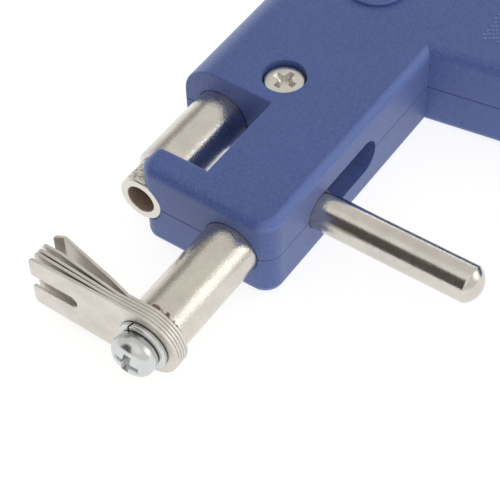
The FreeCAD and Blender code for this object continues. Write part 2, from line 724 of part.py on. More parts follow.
def leaf(label, count, tip, bends):
    """A thin leaf, drawn from the side with its bends, then trimmed to its front outline."""
    body = new_body(label)
    rear = f"-rod_front - {count} * leaf_thick"
    front = f"{rear} - leaf_thick"
    backs = [(rear, "-leaf_heel - 1")]
    fronts = [(front, "-leaf_heel - 1")]
    shift = "0"
    levels = [height for height, slope in bends[1:]] + [tip]
    for (height, slope), next_height in zip(bends, levels):
        backs.append((f"{rear} + {shift}", height))
        fronts.append((f"{front} + {shift}", height))
        shift = f"{shift} + {slope} * ({next_height} - {height})"
    backs.append((f"{rear} + {shift}", tip))
    fronts.append((f"{front} + {shift}", tip))
    side = polygon(body, "Side", backs + fronts[::-1])
    grow(body, "Pad", side, CUT_WIDE, both=True)
    outline = new_sketch(body, "FrontOutline", "YZ_Plane")
    far, back = CUT_REACH, f"-{CUT_REACH}"
    add_polygon(outline, [(back, back), (far, back), (far, far), (back, far)])
    leaf_outline(outline, label != "clutch_spring_leaf")
    grow(body, "Pocket", outline, both=True)
    hole = circles(body, "ScrewHole", [(("0", "0"), "screw_radius + 0.1")], "YZ_Plane")
    grow(body, "Pocket", hole, both=True)
    if label == "clutch_spring_leaf":
        fillet(body, "lip_round", near(*backs[-2]))
        fillet(body, "lip_round - leaf_thick", near(*fronts[-2]))
        round_tip(body, tip, "leaf_half", "slit_round")
    else:
        round_tip(body, tip, "leaf_half", "tip_round")
        round_tip(body, tip, "fork_half", "slit_round")


def round_tip(body, tip, corner, size):
    """Round the tip's two corners at this distance from the middle."""
    height = number(tip)
    reach = number(corner)
    fillet(body, size, lambda point: abs(point.y - height) < 0.02 and abs(abs(point.z) - reach) < 0.1)


def leaf_outline(sketch, forked):
    """Round heel, tapering sides and, on a forked leaf, the open slot between its prongs."""
    heel = number("leaf_heel")
    half = number("leaf_half")
    top = number("leaf_tip") + 1
    root = number("fork_root")
    slit = number("fork_half")
    up = FreeCAD.Vector(0, 0, 1)
    first = sketch.GeometryCount
    middle = FreeCAD.Vector(0, 0, 0)
    right_heel = FreeCAD.Vector(0, heel, 0)
    left_heel = FreeCAD.Vector(0, -heel, 0)
    right_tip = FreeCAD.Vector(top, half, 0)
    left_tip = FreeCAD.Vector(top, -half, 0)
    heel_circle = Part.Circle(middle, up, heel)
    sketch.addGeometry(Part.ArcOfCircle(heel_circle, math.pi / 2, 3 * math.pi / 2), False)
    sketch.addGeometry(Part.LineSegment(left_heel, left_tip), False)
    if forked:
        left_slit = FreeCAD.Vector(top, -slit, 0)
        right_slit = FreeCAD.Vector(top, slit, 0)
        left_root = FreeCAD.Vector(root, -slit, 0)
        right_root = FreeCAD.Vector(root, slit, 0)
        root_circle = Part.Circle(FreeCAD.Vector(root, 0, 0), up, slit)
        quarter = math.pi / 2
        sketch.addGeometry(Part.LineSegment(left_tip, left_slit), False)
        sketch.addGeometry(Part.LineSegment(left_slit, left_root), False)
        sketch.addGeometry(Part.ArcOfCircle(root_circle, quarter, 3 * quarter), False)
        sketch.addGeometry(Part.LineSegment(right_root, right_slit), False)
        sketch.addGeometry(Part.LineSegment(right_slit, right_tip), False)
    else:
        sketch.addGeometry(Part.LineSegment(left_tip, right_tip), False)
    sketch.addGeometry(Part.LineSegment(right_tip, right_heel), False)


def lock_washer():
    """Split spring washer under the clutch screw's head."""
    body = new_body("lock_washer")
    front = "-rod_front - 5 * leaf_thick - lock_thick"
    turn(body, ring_profile(front, f"{front} + lock_thick", "screw_radius + 0.1", "lock_radius"))
    split = polygon(body, "Split", [
        ("split_y", "0"),
        ("split_y + split_wide", "0"),
        ("split_y + split_wide - split_lean", "lock_radius + 1"),
        ("split_y - split_lean", "lock_radius + 1"),
    ], "YZ_Plane", f"{front} - 1")
    grow(body, "Pocket", split, "lock_thick + 2")


# share of the pan head's height, share of its radius
HEAD_PROFILE = [
    (1.0, 0.0), (1.0, 0.35), (0.95, 0.66), (0.80, 0.88), (0.60, 0.98), (0.45, 1.0), (0.30, 1.0), (0.0, 0.87),
]


def clutch_screw():
    body = new_body("clutch_screw")
    seat = "-rod_front - 5 * leaf_thick - lock_thick"
    crown = [(f"{seat} - screw_head_high * {up}", f"screw_head * {out}") for up, out in HEAD_PROFILE]
    turn(body, crown + [
        (seat, "screw_radius"),
        ("screw_deep - rod_front - end_break", "screw_radius"),
        ("screw_deep - rod_front", "screw_radius - end_break"),
        ("screw_deep - rod_front", "0"),
    ])
    top = f"{seat} - screw_head_high"
    arms = (("CrossA", "cross_long", "cross_half"), ("CrossB", "cross_half", "cross_long"))
    for name, wide, tall in arms:
        corners = ((f"-{wide}", f"-{tall}"), (wide, tall))
        arm = rectangle(body, name, *corners, "YZ_Plane", f"{top} - 1")
        grow(body, "Pocket", arm, "cross_deep + 1")


# --- springs -----------------------------------------------------------------------------------

def wound(label, radius, wire, length, turns):
    """A helical spring along its own z axis, swept from a round wire, one edge to a turn."""
    helix = doc.addObject("Part::Helix", f"{label}_line")
    helix.setExpression("Radius", formula(radius))
    helix.setExpression("Height", formula(length))
    helix.setExpression("Pitch", formula(f"({length}) / {turns}"))
    helix.SegmentLength = 1
    section = doc.addObject("Part::Circle", f"{label}_wire")
    section.setExpression("Radius", formula(f"{wire} / 2"))
    section.setExpression("Placement.Base.x", formula(radius))
    section.Placement.Rotation = FreeCAD.Rotation(FreeCAD.Vector(1, 0, 0), 90)
    spring = doc.addObject("Part::Sweep", label)
    spring.Label = label
    spring.Sections = [section]
    spring.Spine = (helix, [f"Edge{turn}" for turn in range(1, turns + 1)])
    spring.Solid = True
    spring.Frenet = True
    pieces.append(spring)
    return spring


def coil(label, start, end, turns, axis_y):
    """A helical compression spring along x between two faces."""
    length = f"({end}) - ({start}) - coil_wire - 2 * coil_gap"
    spring = wound(label, "coil_radius", "coil_wire", length, turns)
    spring.Placement.Rotation = FreeCAD.Rotation(FreeCAD.Vector(0, 1, 0), 90)
    place(spring, axis_y, "half_thick", f"({start}) + coil_wire / 2 + coil_gap")


# --- sear --------------------------------------------------------------------------------------

SEAR_OUTLINE = [
    (-8.0, 3.24), (-6.1, 3.24), (-4.6, 2.0), (-2.0, 2.6), (1.8, 2.4), (4.5, -0.6),
    (9.9, -3.6), (9.9, -5.0), (8.3, -5.2), (6.5, -4.4), (2.0, -2.5), (-2.0, -2.5),
    (-4.6, -0.4), (-8.0, 0.9),
]


def sear_lever():
    body = new_body("sear_lever")
    corners = [(f"sear_x + ({x})", f"sear_y + ({y})") for x, y in SEAR_OUTLINE]
    plate = polygon(body, "Plate", corners)
    grow(body, "Pad", plate, "sear_half * 2", both=True)
    hole = circles(body, "PivotHole", [(("sear_x", "sear_y"), "sear_pin_radius + 0.05")])
    grow(body, "Pocket", hole, both=True)


def sear_pin():
    pin = doc.addObject("Part::Cylinder", "sear_pin")
    pin.Label = "sear_pin"
    pin.setExpression("Radius", formula("sear_pin_radius"))
    pin.setExpression("Height", formula("sear_pin_half * 2"))
    place(pin, "sear_y", "half_thick - sear_pin_half", "sear_x")
    pieces.append(pin)


def sear_spring():
    """Torsion spring round the sear pin, in the left half's well beside the lever."""
    spring = wound("sear_spring", "sear_coil", "sear_wire", "sear_coil_long", 3)
    place(spring, "sear_y", "half_thick + sear_half + sear_coil_off", "sear_x")


# --- fasteners and fixed pieces ----------------------------------------------------------------

def return_spring_seat():
    body = new_body("return_spring_seat")
    turn(body, [
        ("seat_front - spigot_long", "0"),
        ("seat_front + seat_thick", "0"),
        ("seat_front + seat_thick", "rod_radius"),
        ("seat_front", "rod_radius"),
        ("seat_front", "spigot_radius"),
        ("seat_front - spigot_long + end_break", "spigot_radius"),
        ("seat_front - spigot_long", "spigot_radius - end_break"),
    ])


def case_screw(index, x, y):
    """One self-tapping screw along z with a cross recess in its head."""
    shank = doc.addObject("Part::Cylinder", f"case_shank_{index}")
    shank.setExpression("Radius", formula("case_shank"))
    shank.setExpression("Height", formula("half_thick - case_sink - 0.5 + case_screw_low"))
    shank.setExpression("Placement.Base.z", formula("-case_screw_low"))
    head = doc.addObject("Part::Cylinder", f"case_head_{index}")
    head.setExpression("Radius", formula("case_head"))
    head.setExpression("Height", formula("case_head_high"))
    head.setExpression("Placement.Base.z", formula("half_thick - case_sink - case_head_high"))
    whole = doc.addObject("Part::Fuse", f"case_blank_{index}")
    whole.Base = shank
    whole.Tool = head
    arms = (("case_cross_long", "case_cross_wide"), ("case_cross_wide", "case_cross_long"))
    for arm, (long, wide) in enumerate(arms):
        recess = doc.addObject("Part::Box", f"case_recess_{index}_{arm}")
        recess.setExpression("Length", formula(long))
        recess.setExpression("Width", formula(wide))
        recess.setExpression("Height", formula("case_cross_deep + 0.1"))
        recess.setExpression("Placement.Base.x", formula(f"-{long} / 2"))
        recess.setExpression("Placement.Base.y", formula(f"-{wide} / 2"))
        recess.setExpression("Placement.Base.z", formula("half_thick - case_sink - case_cross_deep"))
        cut = doc.addObject("Part::Cut", f"case_cut_{index}_{arm}")
        cut.Base = whole
        cut.Tool = recess
        whole = cut
    whole.setExpression("Placement.Base.x", f"{x}")
    whole.setExpression("Placement.Base.y", f"{y}")
    return whole


def case_screws():
    group = doc.addObject("Part::Compound", "case_screws")
    group.Label = "case_screws"
    group.Links = [case_screw(index, x, y) for index, (x, y) in enumerate(CASE_SCREWS)]
    place(group)
    pieces.append(group)


# --- assembly ----------------------------------------------------------------------------------

half_shell("left_shell", 1)
half_shell("right_shell", -1)
case_screws()
rear_guide_bush()
return_spring_seat()
sear_pin()
sear_spring()

stud_holder()
plunger_sleeve()
draw_rod()
coil("plunger_spring", "sleeve_rear", "bush_front", 10, "plunger_y")
buffer_washer()
cocking_knob()
knob_pin()

slide_rod()
trigger_pin()
for label, count, tip, bends in LEAVES:
    leaf(label, count, tip, bends)
lock_washer()
clutch_screw()
coil("return_spring", "rod_rear", "seat_front", 8, "0")

sear_lever()
doc.recompute()

bounds = FreeCAD.BoundBox()
for piece in pieces:
    bounds.add(piece.Shape.optimalBoundingBox(False))
FRAME_ROWS = {alias: row for row, (alias, value, note) in enumerate(DIMENSIONS, start=1)}
sheet.set(f"B{FRAME_ROWS['frame_x']}", f"{bounds.Center.x:.4f}")
sheet.set(f"B{FRAME_ROWS['frame_y']}", f"{bounds.Center.y:.4f}")
doc.recompute()

for item in doc.Objects:
    if "Invalid" in item.State or "Error" in item.State:
        raise RuntimeError(f"{item.Label} failed: {item.State}")
for piece in pieces:
    if piece.Shape.isNull() or not piece.Shape.isValid():
        raise RuntimeError(f"{piece.Label} has no valid shape")

os.makedirs("parts", exist_ok=True)
for piece in pieces:
    piece.Shape.exportStep(os.path.join("parts", f"{piece.Label}.step"))
print(len(pieces), "pieces, frame at", number("frame_x"), number("frame_y"))
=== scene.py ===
import math
from itertools import product

import bmesh
import bpy
from mathutils import Matrix, Vector


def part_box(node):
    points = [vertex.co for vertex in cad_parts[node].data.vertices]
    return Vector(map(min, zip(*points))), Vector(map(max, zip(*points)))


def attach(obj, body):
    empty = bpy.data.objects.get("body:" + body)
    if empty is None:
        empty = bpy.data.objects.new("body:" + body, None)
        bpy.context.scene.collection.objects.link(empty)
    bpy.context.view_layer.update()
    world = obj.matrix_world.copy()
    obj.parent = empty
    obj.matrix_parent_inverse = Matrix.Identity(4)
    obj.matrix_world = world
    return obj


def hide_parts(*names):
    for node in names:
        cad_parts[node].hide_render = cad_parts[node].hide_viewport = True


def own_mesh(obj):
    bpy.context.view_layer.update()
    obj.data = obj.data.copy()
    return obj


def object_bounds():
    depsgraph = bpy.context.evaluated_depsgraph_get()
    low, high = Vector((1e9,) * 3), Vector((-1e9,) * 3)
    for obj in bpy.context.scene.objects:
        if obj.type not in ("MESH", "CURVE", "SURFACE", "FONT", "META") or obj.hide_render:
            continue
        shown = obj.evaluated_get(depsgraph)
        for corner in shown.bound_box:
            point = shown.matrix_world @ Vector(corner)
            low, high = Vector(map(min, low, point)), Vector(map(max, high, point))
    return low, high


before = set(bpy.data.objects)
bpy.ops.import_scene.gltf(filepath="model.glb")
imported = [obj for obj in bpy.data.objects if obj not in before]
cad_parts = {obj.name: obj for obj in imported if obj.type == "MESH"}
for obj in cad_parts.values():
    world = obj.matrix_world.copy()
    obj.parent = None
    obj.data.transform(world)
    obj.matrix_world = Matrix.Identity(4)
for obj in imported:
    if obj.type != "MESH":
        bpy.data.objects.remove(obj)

CAD_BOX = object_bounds()
MM = 0.001

# Heights and stations of the gun in millimetres from its reference point.
PLUNGER_Y = 16.1
BROAD_FACE_Z = 7.7
SCREW_SEAT_X, WASHER_SEAT_X = -21.1, -20.2
CASE_SCREW_SEAT_Z = 4.9
CASE_SCREW_PLACES = ((26.2, 8.4), (76.0, 8.05), (62.0, -34.0), (71.5, -61.5))

body_low, body_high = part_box("left_shell")
rod_low, rod_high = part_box("slide_rod")
# The gun's own reference point: the slide rod's axis at the body's front face.
ORIGIN = Vector((body_low.x, (rod_low.y + rod_high.y) / 2, (rod_low.z + rod_high.z) / 2))


def gun(x, y, z=0.0):
    """A point given in millimetres from the reference point, in the row frame."""
    return ORIGIN + Vector((x, y, z)) * MM


# ---------------------------------------------------------------- materials


class Graph:
    """A material's node tree, built link by link."""

    def __init__(self, name):
        self.material = bpy.data.materials.new(name)
        self.material.use_nodes = True
        self.tree = self.material.node_tree
        self.tree.nodes.clear()
        self.output = self.add("ShaderNodeOutputMaterial")
        self.shader = self.add("ShaderNodeBsdfPrincipled")
        self.link(self.shader.outputs[0], self.output.inputs["Surface"])
        self.coordinates = self.add("ShaderNodeTexCoord").outputs["Object"]

    def add(self, kind, **settings):
        node = self.tree.nodes.new(kind)
        for key, value in settings.items():
            setattr(node, key, value)
        return node

    def link(self, output, socket):
        self.tree.links.new(output, socket)

    def put(self, socket, value):
        if isinstance(value, bpy.types.NodeSocket):
            self.link(value, socket)
        else:
            socket.default_value = value

    def set(self, **values):
        for key, value in values.items():
            self.put(self.shader.inputs[key.replace("_", " ")], value)

    def mapped(self, scale):
        node = self.add("ShaderNodeMapping")
        self.link(self.coordinates, node.inputs["Vector"])
        node.inputs["Scale"].default_value = scale
        return node.outputs[0]

    def noise(self, scale, detail=2.0, roughness=0.5, vector=None):
        node = self.add("ShaderNodeTexNoise")
        self.link(vector or self.coordinates, node.inputs["Vector"])
        node.inputs["Scale"].default_value = scale
        node.inputs["Detail"].default_value = detail
        node.inputs["Roughness"].default_value = roughness
        return node.outputs["Fac"]

    def cells(self, scale):
        node = self.add("ShaderNodeTexVoronoi", feature="F1")
        self.link(self.coordinates, node.inputs["Vector"])
        node.inputs["Scale"].default_value = scale
        return node.outputs["Distance"]

    def math(self, operation, first, second=0.0):
        node = self.add("ShaderNodeMath", operation=operation)
        self.put(node.inputs[0], first)
        self.put(node.inputs[1], second)
        return node.outputs[0]

    def spread(self, value, low, high, to_low=0.0, to_high=1.0):
        node = self.add("ShaderNodeMapRange", interpolation_type="SMOOTHSTEP")
        self.put(node.inputs["Value"], value)
        node.inputs["From Min"].default_value = low
        node.inputs["From Max"].default_value = high
        node.inputs["To Min"].default_value = to_low
        node.inputs["To Max"].default_value = to_high
        return node.outputs["Result"]

    def axis(self, name, vector=None):
        node = self.add("ShaderNodeSeparateXYZ")
        self.link(vector or self.coordinates, node.inputs[0])
        return node.outputs[name]

    def mix(self, factor, first, second):
        node = self.add("ShaderNodeMix", data_type="RGBA")
        self.put(node.inputs[0], factor)
        self.put(node.inputs[6], first)
        self.put(node.inputs[7], second)
        return node.outputs[2]

    def hollow(self, reach, closed, clear):
        """1 deep in a gap narrower than the reach and 0 on open faces."""
        node = self.add("ShaderNodeAmbientOcclusion", samples=8)
        node.inputs["Distance"].default_value = reach
        return self.spread(node.outputs["AO"], closed, clear, 1.0, 0.0)

    def bump(self, height, distance, strength=1.0, normal=None):
        node = self.add("ShaderNodeBump")
        node.inputs["Strength"].default_value = strength
        node.inputs["Distance"].default_value = distance
        self.link(height, node.inputs["Height"])
        if normal is not None:
            self.link(normal, node.inputs["Normal"])
        return node.outputs[0]


def colour(red, green, blue):
    return (red, green, blue, 1.0)


def plastic(name, base, dark):
    """Moulded ABS with a spark-eroded grain, painted highlights and painted glints on the rounds
    and a dark parting line.
    """
    g = Graph(name)
    grain = g.noise(3600.0, 3.0, 0.6)
    cloud = g.noise(60.0, 3.0, 0.55)
    tone = g.mix(g.spread(cloud, 0.3, 0.7), base, dark)
    fine = g.noise(2900.0, 2.0)
    tone = g.mix(g.spread(fine, 0.35, 0.65, 0.0, 0.50), tone, colour(0.088, 0.136, 0.365))
    facing = g.add("ShaderNodeNewGeometry").outputs["Normal"]
    flat = g.math("ABSOLUTE", g.axis("Z", facing))
    steep = g.math("ABSOLUTE", g.axis("Y", facing))
    # Painted highlight: rounds between the broad faces and the top and underside faces are tinted
    # paler blue.
    painted_round_highlight = g.math("MULTIPLY", g.spread(steep, 0.1, 0.5), g.spread(flat, 0.02, 0.2))
    tone = g.mix(g.math("MULTIPLY", painted_round_highlight, 0.55), tone, colour(0.125, 0.200, 0.50))
    # Painted glints: pale blue dots scattered along the rounded edges.
    edge = g.math("MULTIPLY", g.spread(flat, 0.02, 0.2), g.spread(flat, 0.995, 0.92))
    painted_glints = g.math("MULTIPLY", g.spread(g.cells(2400.0), 0.12, 0.21, 1.0, 0.0), edge)
    tone = g.mix(g.math("MULTIPLY", painted_glints, 0.45), tone, colour(0.26, 0.36, 0.66))
    away = g.math("ABSOLUTE", g.math("SUBTRACT", g.axis("Z"), ORIGIN.z))
    seam = g.spread(away, 0.00003, 0.00009, 1.0, 0.0)
    tone = g.mix(g.math("MULTIPLY", seam, 0.75), tone, colour(0.008, 0.012, 0.04))
    g.set(Base_Color=tone, IOR=1.5, Roughness=g.spread(grain, 0.25, 0.75, 0.36, 0.52))
    g.set(Sheen_Weight=0.24, Sheen_Roughness=0.45, Sheen_Tint=colour(0.8, 0.88, 1.0))
    g.set(Normal=g.bump(grain, 0.00004, 0.8))
    return g.material


def nickel(name, base, rough, along="X", streak=1.0, pitting=0.03, gap_shade=0.0, reach=0.0004,
           end_shade=None):
    """Plated, ground metal: fine lines round the part, pitting in mm, painted dark brown shade in
    narrow gaps and at a given end.
    """
    g = Graph(name)
    fine = {"X": (6000.0, 900.0, 900.0), "Y": (900.0, 6000.0, 900.0), "N": (2500.0, 2500.0, 2500.0)}
    lines = g.noise(1.0, 3.0, 0.6, g.mapped(fine[along]))
    blotch = g.noise(240.0, 4.0, 0.6)
    tone = g.mix(g.spread(blotch, 0.3, 0.75), base, colour(*(c * 0.88 for c in base[:3])))
    speck = g.spread(g.noise(4800.0, 2.0), 0.34, 0.66, 0.0, 5.0 * pitting)
    tone = g.mix(speck, tone, colour(*(c * 0.55 for c in base[:3])))
    worn = g.math("MULTIPLY", g.spread(lines, 0.3, 0.7, -0.05, 0.06), streak)
    worn = g.math("ADD", worn, g.math("MULTIPLY", speck, 0.3))
    # Painted shade: where ambient occlusion finds a narrow gap, the tone is darkened towards dark
    # brown.
    if gap_shade:
        gap_shade_mask = g.math("MULTIPLY", g.hollow(reach, 0.30, 0.75), gap_shade)
        tone = g.mix(gap_shade_mask, tone, colour(0.05, 0.033, 0.022))
        worn = g.math("ADD", worn, g.math("MULTIPLY", gap_shade_mask, 0.3))
    # Painted shade: a patchy dark brown band with a ragged edge over the given span along x, for
    # the gap at the rod's end against the spring leaf.
    if end_shade is not None:
        drift = g.spread(g.noise(1200.0, 3.0), 0.3, 0.7, -0.0004, 0.0004)
        ragged = g.math("ADD", g.axis("X"), drift)
        patchy = g.spread(g.noise(230.0, 1.0), 0.44, 0.52, 0.15, 0.9)
        end_shade_mask = g.math("MULTIPLY", g.spread(ragged, *end_shade), patchy)
        tone = g.mix(end_shade_mask, tone, colour(0.15, 0.095, 0.065))
    g.set(Base_Color=tone, Metallic=1.0)
    g.set(Roughness=g.math("ADD", worn, g.spread(blotch, 0.2, 0.8, rough - 0.03, rough + 0.05)))
    ground = g.bump(lines, 0.000004, 0.2 * streak)
    pits = g.bump(g.noise(2400.0, 3.0, 0.6), pitting * MM, 1.0, ground)
    g.set(Normal=g.bump(g.noise(5200.0, 2.0), 0.000014, 0.8, pits))
    return g.material


def tube(name, base):
    """The stud holder: bright at the mouth, roughly cast behind it, brown inside."""
    g = Graph(name)
    axis = gun(0.0, PLUNGER_Y)
    up = g.math("SUBTRACT", g.axis("Y"), axis.y)
    out = g.math("SUBTRACT", g.axis("Z"), axis.z)
    radius = g.math("SQRT", g.math("ADD", g.math("POWER", up, 2.0), g.math("POWER", out, 2.0)))
    inside = g.spread(radius, 0.00233, 0.00243, 1.0, 0.0)
    rough = g.math("MULTIPLY", g.spread(g.axis("X"), gun(0.4, 0).x, gun(0.9, 0).x),
                   g.spread(radius, 0.0034, 0.0036))
    crust = g.noise(2600.0, 3.0, 0.7)
    specks = g.math("MULTIPLY", g.spread(crust, 0.55, 0.42), rough)
    tone = g.mix(g.math("MULTIPLY", specks, 0.8), base, colour(0.12, 0.10, 0.08))
    soil = g.mix(g.noise(1400.0, 3.0), colour(0.36, 0.27, 0.21), colour(0.22, 0.165, 0.13))
    g.set(Base_Color=g.mix(inside, tone, soil))
    g.set(Metallic=g.spread(inside, 0.0, 1.0, 1.0, 0.0))
    shine = g.math("ADD", g.math("MULTIPLY", rough, 0.08), g.math("MULTIPLY", inside, 0.35))
    g.set(Roughness=g.math("ADD", shine, g.spread(g.noise(700.0), 0.2, 0.8, 0.24, 0.34)))
    g.set(Normal=g.bump(g.math("MULTIPLY", crust, rough), 0.00022, 0.9))
    return g.material


def rubber(name):
    g = Graph(name)
    grain = g.noise(3000.0, 3.0)
    g.set(Base_Color=g.mix(g.noise(120.0), colour(0.018, 0.018, 0.02), colour(0.03, 0.03, 0.032)))
    g.set(Roughness=g.spread(grain, 0.2, 0.8, 0.55, 0.75), Normal=g.bump(grain, 0.00003, 0.5))
    return g.material


BODY = plastic("body_plastic", colour(0.050, 0.090, 0.308), colour(0.045, 0.081, 0.28))
# Painted highlight: the moulded chevrons take a paler copy of the body plastic, as if they catch
# the light.
GRIP_PAINTED_LIGHT = plastic("grip_plastic_painted_light", colour(0.19, 0.29, 0.60), colour(0.16, 0.25, 0.54))
# Span along x of the painted shade band at the slide rod's end.
ROD_END_SHADE = (gun(-16.8, 0.0).x, gun(-17.2, 0.0).x)
ROD = nickel("nickel_rod", colour(0.72, 0.685, 0.62), 0.17, "X", 1.0, 0.035, 0.6, 0.0006, ROD_END_SHADE)
SLEEVE = nickel("nickel_sleeve", colour(0.75, 0.72, 0.675), 0.17, "X", 1.0, 0.035, 0.5)
PIN = nickel("nickel_pin", colour(0.67, 0.64, 0.595), 0.13, "Y", 1.0, 0.02)
TUBE = tube("nickel_tube", colour(0.72, 0.70, 0.65))
LEAF = nickel("leaf_steel", colour(0.74, 0.71, 0.66), 0.37, "N", 0.6, 0.03, 0.85, 0.0003)
ZINC = nickel("zinc_screw", colour(0.68, 0.70, 0.705), 0.20, "N", 0.6, 0.01, 0.6)
SCREW = nickel("nickel_screw", colour(0.75, 0.72, 0.67), 0.26, "N", 0.6, 0.025, 0.5)
TURNED = nickel("knob_metal", colour(0.70, 0.67, 0.62), 0.24, "X", 1.0, 0.015, 0.6)
WIRE = nickel("spring_steel", colour(0.50, 0.48, 0.46), 0.3, "N")
DARK = nickel("dark_steel", colour(0.36, 0.36, 0.37), 0.34, "N")
RUBBER = rubber("rubber")

FINISHES = {
    "left_shell": BODY, "right_shell": BODY, "case_screws": SCREW, "rear_guide_bush": TURNED,
    "return_spring_seat": TURNED, "sear_pin": DARK, "sear_spring": WIRE, "stud_holder": TUBE,
    "plunger_sleeve": SLEEVE, "draw_rod": ROD, "plunger_spring": WIRE, "buffer_washer": RUBBER,
    "cocking_knob": TURNED, "knob_pin": DARK, "slide_rod": ROD, "trigger_pin": PIN,
    "clutch_plate_1": LEAF, "clutch_plate_2": LEAF, "clutch_plate_3": LEAF, "clutch_plate_4": LEAF,
    "clutch_spring_leaf": LEAF, "lock_washer": ZINC, "clutch_screw": ZINC, "return_spring": WIRE,
    "sear_lever": DARK,
}
for node, finish in FINISHES.items():
    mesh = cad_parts[node].data
    mesh.materials.clear()
    mesh.materials.append(finish)


# ---------------------------------------------------------------- pieces in mesh code

# The broken edge of the stamped leaves, in millimetres.
BROKEN_EDGE = 0.11
LEAVES = (
    "clutch_plate_1", "clutch_plate_2", "clutch_plate_3", "clutch_plate_4", "clutch_spring_leaf",
)


def shown(name, shape, body, finish, nodes, sharp=35.0):
    """Makes a piece from a mesh: it rides on a body and stands for those CAD nodes."""
    mesh = bpy.data.meshes.new(name)
    bmesh.ops.recalc_face_normals(shape, faces=shape.faces)
    shape.to_mesh(mesh)
    shape.free()
    mesh.materials.append(finish)
    mesh.shade_smooth()
    mesh.set_sharp_from_angle(angle=math.radians(sharp))
    piece = bpy.data.objects.new(name, mesh)
    bpy.context.scene.collection.objects.link(piece)
    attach(piece, body)
    if nodes:
        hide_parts(*nodes)
    return piece


def local_frame(origin, along, out):
    """Matrix from millimetres in a piece's own axes to the row frame; out is its z axis."""
    turned = Matrix((along, out.cross(along), out)).transposed().to_4x4()
    return Matrix.Translation(origin) @ turned @ Matrix.Scale(MM, 4)


def lathe(shape, place, crown, rest, turns=128, carve=None):
    """Adds a turned solid round z. Rings are (radius, height); carve lowers the crown."""
    rings = []
    for number, (radius, height) in enumerate(list(crown) + list(rest)):
        if radius == 0.0:
            low = carve(0.0, 0.0) if carve and number < len(crown) else 0.0
            rings.append([shape.verts.new(place @ Vector((0.0, 0.0, height - low)))])
            continue
        ring = []
        for step in range(turns):
            angle = 2 * math.pi * step / turns
            u, v = radius * math.cos(angle), radius * math.sin(angle)
            low = carve(u, v) if carve and number < len(crown) else 0.0
            ring.append(shape.verts.new(place @ Vector((u, v, height - low))))
        rings.append(ring)
    for upper, lower in zip(rings, rings[1:]):
        for step in range(turns):
            after = (step + 1) % turns
            corners = [upper[step % len(upper)], upper[after % len(upper)],
                       lower[after % len(lower)], lower[step % len(lower)]]
            shape.faces.new(list(dict.fromkeys(corners)))


def cross(length, half, depth, pocket, turn):
    """Depth of a cross recess at a point: sloping floors, steep flanks, a wider middle."""
    cosine, sine = math.cos(math.radians(turn)), math.sin(math.radians(turn))

    def depth_at(u, v):
        a, b = abs(u * cosine + v * sine), abs(v * cosine - u * sine)
        deepest = (pocket - math.hypot(a, b)) / (0.45 * pocket)
        for along, across in ((a, b), (b, a)):
            floor = (length - along) / (0.6 * length)
            flank = (half - across) / (0.4 * half)
            deepest = max(deepest, min(floor, flank))
        return depth * max(0.0, min(1.0, deepest))

    return depth_at


def crown_rings(radius, height, rim, power, recess):
    """Rings of a domed head from its middle outwards, finest over the recess."""
    steps = 40
    inner = [recess * step / steps for step in range(steps)]
    outer = [recess + (radius - recess) * math.sin(math.pi / 2 * step / 22) for step in range(23)]
    rise = height - rim
    return [(r, rim + rise * math.sqrt(max(0.0, 1 - (r / radius) ** power))) for r in inner + outer]


def thread_rings(radius, root, top, end, pitch):
    """Rings of a threaded shank, from under the head down to its tip."""
    rings = [(root, top)]
    height = top - pitch
    while height > end + pitch:
        rings += [(root, height), (radius, height - 0.25 * pitch), (root, height - 0.5 * pitch)]
        height -= pitch
    return rings + [(root * 0.6, end + 0.3), (0.0, end)]


def clutch_screw():
    """Zinc-plated pan head with a deep cross recess."""
    shape = bmesh.new()
    place = local_frame(gun(SCREW_SEAT_X, 0.0), Vector((0, 1, 0)), Vector((-1, 0, 0)))
    crown = crown_rings(3.45, 3.38, 1.5, 3.2, 2.2)
    rim = [(3.44, 1.25), (3.40, 0.9), (3.30, 0.5), (3.17, 0.2), (3.0, 0.0)]
    rest = rim + thread_rings(1.96, 1.7, 0.0, -12.3, 0.7)
    lathe(shape, place, crown, rest, 160, cross(2.0, 0.56, 1.5, 0.98, -12.5))
    shown("clutch_pan_screw", shape, "carriage", ZINC, ["clutch_screw"])


def lock_washer():
    """One turn of rounded square wire with a skewed gap."""
    shape = bmesh.new()
    place = local_frame(gun(WASHER_SEAT_X, 0.0), Vector((0, 1, 0)), Vector((-1, 0, 0)))
    inner, outer, thick = 2.08, 4.0, 0.9
    section = [
        (inner, 0.1), (inner + 0.1, 0.0), (outer - 0.2, 0.0), (outer - 0.06, 0.06), (outer, 0.2),
        (outer, thick - 0.24), (outer - 0.07, thick - 0.07), (outer - 0.24, thick),
        (inner + 0.1, thick), (inner, thick - 0.1),
    ]
    cut, gap, skew, lean, steps = -71.4, 5.5, 25.0, 3.8, 96
    rings = []
    for step in range(steps + 1):
        swept = gap / 2 + (360.0 - gap) * step / steps
        ring = []
        for radius, height in section:
            turned = cut + swept + skew * (outer - radius) + lean * height
            angle = math.radians(turned)
            across = Vector((radius * math.cos(angle), radius * math.sin(angle), height))
            ring.append(shape.verts.new(place @ across))
        rings.append(ring)
    for first, second in zip(rings, rings[1:]):
        for number in range(len(section)):
            after = (number + 1) % len(section)
            shape.faces.new((first[number], first[after], second[after], second[number]))
    shape.faces.new(rings[0])
    shape.faces.new(rings[-1])
    shown("split_lock_washer", shape, "carriage", ZINC, ["lock_washer"], 50.0)


def case_screws():
    """Four self-tapping screws with shallow domes and wide cross recesses."""
    shape = bmesh.new()
    for number, (x, y) in enumerate(CASE_SCREW_PLACES):
        place = local_frame(gun(x, y, CASE_SCREW_SEAT_Z), Vector((1, 0, 0)), Vector((0, 0, 1)))
        crown = crown_rings(3.05, 2.1, 1.86, 3.0, 2.1)
        rest = [(3.05, 1.7), (3.05, 0.1), (2.95, 0.0)] + thread_rings(1.44, 1.2, 0.0, -10.4, 1.0)
        lathe(shape, place, crown, rest, 128, cross(1.95, 0.52, 1.1, 1.12, -7.0 + 34.0 * number))
    shown("case_pan_screws", shape, "body", SCREW, ["case_screws"])


